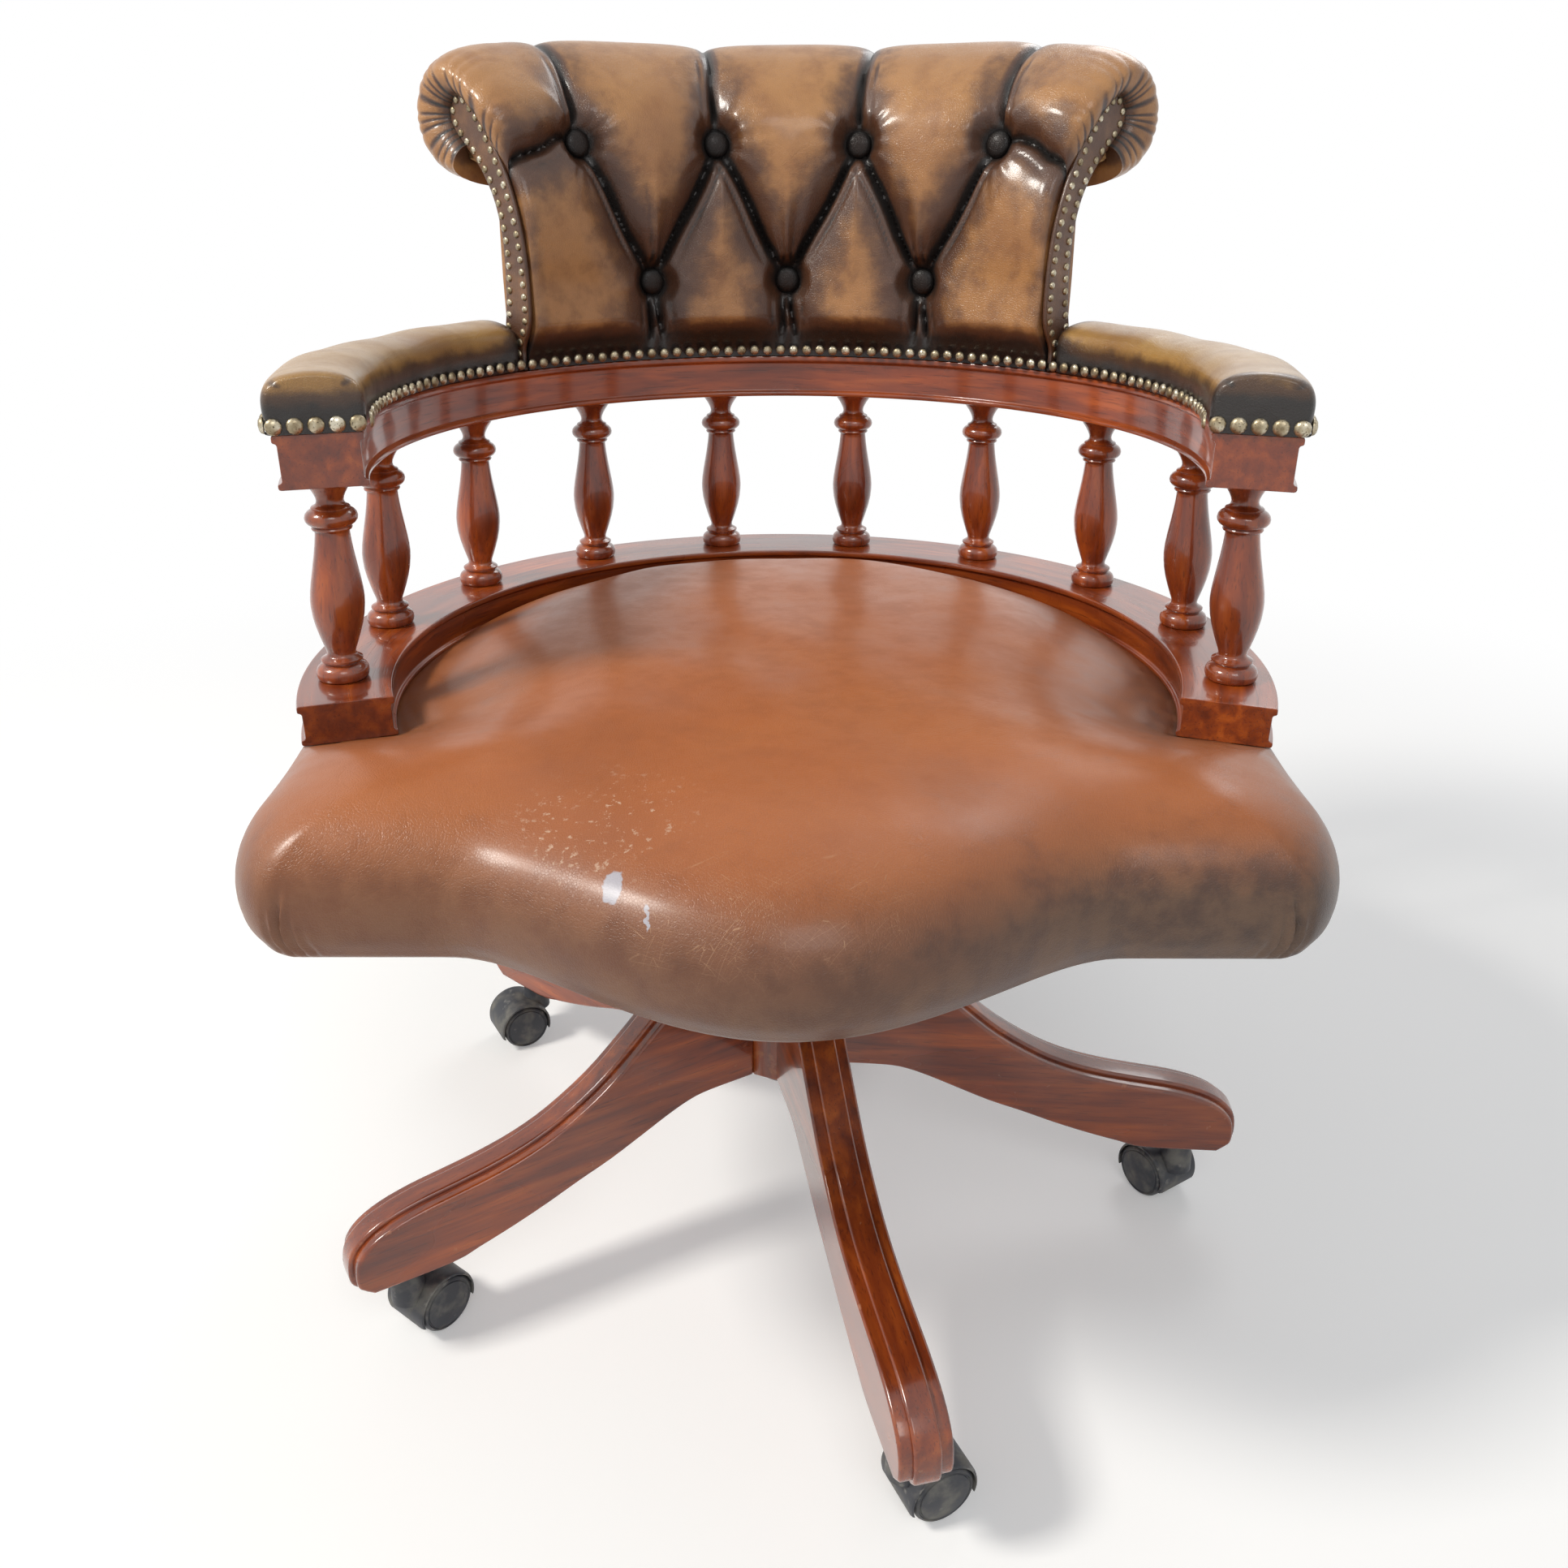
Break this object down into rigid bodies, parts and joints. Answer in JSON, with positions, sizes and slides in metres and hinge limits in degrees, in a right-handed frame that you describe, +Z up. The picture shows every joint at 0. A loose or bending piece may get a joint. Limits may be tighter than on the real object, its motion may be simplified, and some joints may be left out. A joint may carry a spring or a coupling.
{
  "type": "captains chair",
  "caption": "Desk chair with a buttoned scroll back and leather seat on a horseshoe rail of turned spindles, with a swivel, tilt and gas-lift column on a castored wooden star base.",
  "frame": {"origin": "middle of the bounding box on the floor", "axes": "+Z up; the sitter faces -Y; +X is the sitter's left hand, on the right in a view from the front"},
  "size_m": [0.6634, 0.742, 0.8224],
  "materials": {
    "mahogany": "gloss lacquered reddish mahogany",
    "back_leather": "hand-rubbed antique tan leather, glossy",
    "seat_leather": "smooth tan leather, worn, satin",
    "pad_leather": "antique olive-gold leather, glossy",
    "button_leather": "dark antique leather",
    "antique_brass": "antique dome nails",
    "black_steel": "black enamel",
    "bright_steel": "bright steel",
    "black_plastic": "black moulded",
    "castor_plastic": "charcoal grey moulded",
    "plywood": "bare plywood",
    "black_cloth": "black non-woven dust cloth"
  },
  "bodies": {
    "base": {"hub": "mahogany", "leg_front": "mahogany", "leg_right": "mahogany", "leg_back_right": "mahogany", "leg_back_left": "mahogany", "leg_left": "mahogany", "gas_tube": "black_steel", "thrust_bearing": "bright_steel"},
    "castor_swivel_front": {"castor_hood_front": "castor_plastic"},
    "castor_roll_front": {"castor_wheels_front": "castor_plastic"},
    "castor_swivel_right": {"castor_hood_right": "castor_plastic"},
    "castor_roll_right": {"castor_wheels_right": "castor_plastic"},
    "castor_swivel_back_right": {"castor_hood_back_right": "castor_plastic"},
    "castor_roll_back_right": {"castor_wheels_back_right": "castor_plastic"},
    "castor_swivel_back_left": {"castor_hood_back_left": "castor_plastic"},
    "castor_roll_back_left": {"castor_wheels_back_left": "castor_plastic"},
    "castor_swivel_left": {"castor_hood_left": "castor_plastic"},
    "castor_roll_left": {"castor_wheels_left": "castor_plastic"},
    "rod": {"piston_rod": "bright_steel"},
    "mechanism": {"gas_cylinder": "black_steel", "tilt_housing": "black_steel", "lever_pin": "bright_steel", "tilt_spring": "bright_steel"},
    "lever": {"height_lever": "black_plastic"},
    "seat": {"seat_plate": "black_steel", "pivot_pin": "bright_steel", "seat_board": "plywood", "dust_cover": "black_cloth", "seat_cushion": "seat_leather", "lower_rail": "mahogany", "upper_rail": "mahogany", "spindle_1": "mahogany", "spindle_2": "mahogany", "spindle_3": "mahogany", "spindle_4": "mahogany", "spindle_5": "mahogany", "spindle_6": "mahogany", "spindle_7": "mahogany", "spindle_8": "mahogany", "spindle_9": "mahogany", "spindle_10": "mahogany", "arm_pad_right": "pad_leather", "arm_pad_left": "pad_leather", "nail_trim": "antique_brass", "back_board": "plywood", "rear_panel": "back_leather", "back_cushion": "back_leather", "button_upper_1": "button_leather", "button_upper_2": "button_leather", "button_upper_3": "button_leather", "button_upper_4": "button_leather", "button_lower_1": "button_leather", "button_lower_2": "button_leather", "button_lower_3": "button_leather", "facing_right": "back_leather", "facing_left": "back_leather"},
    "knob": {"tension_knob": "black_plastic"}
  },
  "joints": [
    {"name": "castor_swivel_turn_front", "type": "hinge", "parent": "base", "child": "castor_swivel_front", "pos_m": [0.0619, -0.3321, 0.03], "axis": [0, 0, 1], "continuous": true},
    {"name": "castor_wheel_turn_front", "type": "hinge", "parent": "castor_swivel_front", "child": "castor_roll_front", "pos_m": [0.0773, -0.3249, 0.0205], "axis": [-0.4226, 0.9063, 0], "continuous": true},
    {"name": "castor_swivel_turn_right", "type": "hinge", "parent": "base", "child": "castor_swivel_right", "pos_m": [0.2932, -0.0612, 0.03], "axis": [0, 0, 1], "continuous": true},
    {"name": "castor_wheel_turn_right", "type": "hinge", "parent": "castor_swivel_right", "child": "castor_roll_right", "pos_m": [0.2839, -0.047, 0.0205], "axis": [-0.8387, -0.5446, 0], "continuous": true},
    {"name": "castor_swivel_turn_back_right", "type": "hinge", "parent": "base", "child": "castor_swivel_back_right", "pos_m": [0.1071, 0.2425, 0.03], "axis": [0, 0, 1], "continuous": true},
    {"name": "castor_wheel_turn_back_right", "type": "hinge", "parent": "castor_swivel_back_right", "child": "castor_roll_back_right", "pos_m": [0.1231, 0.2483, 0.0205], "axis": [-0.342, 0.9397, 0], "continuous": true},
    {"name": "castor_swivel_turn_back_left", "type": "hinge", "parent": "base", "child": "castor_swivel_back_left", "pos_m": [-0.2393, 0.1593, 0.03], "axis": [0, 0, 1], "continuous": true},
    {"name": "castor_wheel_turn_back_left", "type": "hinge", "parent": "castor_swivel_back_left", "child": "castor_roll_back_left", "pos_m": [-0.254, 0.1508, 0.0205], "axis": [0.5, -0.866, 0], "continuous": true},
    {"name": "castor_swivel_turn_left", "type": "hinge", "parent": "base", "child": "castor_swivel_left", "pos_m": [-0.2672, -0.1958, 0.03], "axis": [0, 0, 1], "continuous": true},
    {"name": "castor_wheel_turn_left", "type": "hinge", "parent": "castor_swivel_left", "child": "castor_roll_left", "pos_m": [-0.2568, -0.1824, 0.0205], "axis": [-0.788, 0.6157, 0], "continuous": true},
    {"name": "seat_swivel", "type": "hinge", "parent": "base", "child": "rod", "pos_m": [-0.00888, -0.03744, 0.115], "axis": [0, 0, 1], "continuous": true},
    {"name": "height_slide", "type": "slide", "parent": "rod", "child": "mechanism", "axis": [0, 0, 1], "range_m": [0, 0.07]},
    {"name": "lever_lift", "type": "hinge", "parent": "mechanism", "child": "lever", "pos_m": [0.03112, -0.04944, 0.303], "axis": [0, -1, 0], "range_deg": [0, 10], "stiffness_Nm_per_rad": 1.2, "springref_deg": -14.32},
    {"name": "seat_tilt", "type": "hinge", "parent": "mechanism", "child": "seat", "pos_m": [-0.00888, -0.09544, 0.324], "axis": [-1, 0, 0], "range_deg": [0, 12], "stiffness_Nm_per_rad": 150, "springref_deg": -11.46, "deforming": ["tilt_spring"]},
    {"name": "knob_turn", "type": "hinge", "parent": "seat", "child": "knob", "pos_m": [-0.00888, -0.13644, 0.261], "axis": [0, 0, 1], "range_deg": [-1080, 1080]}
  ]
}
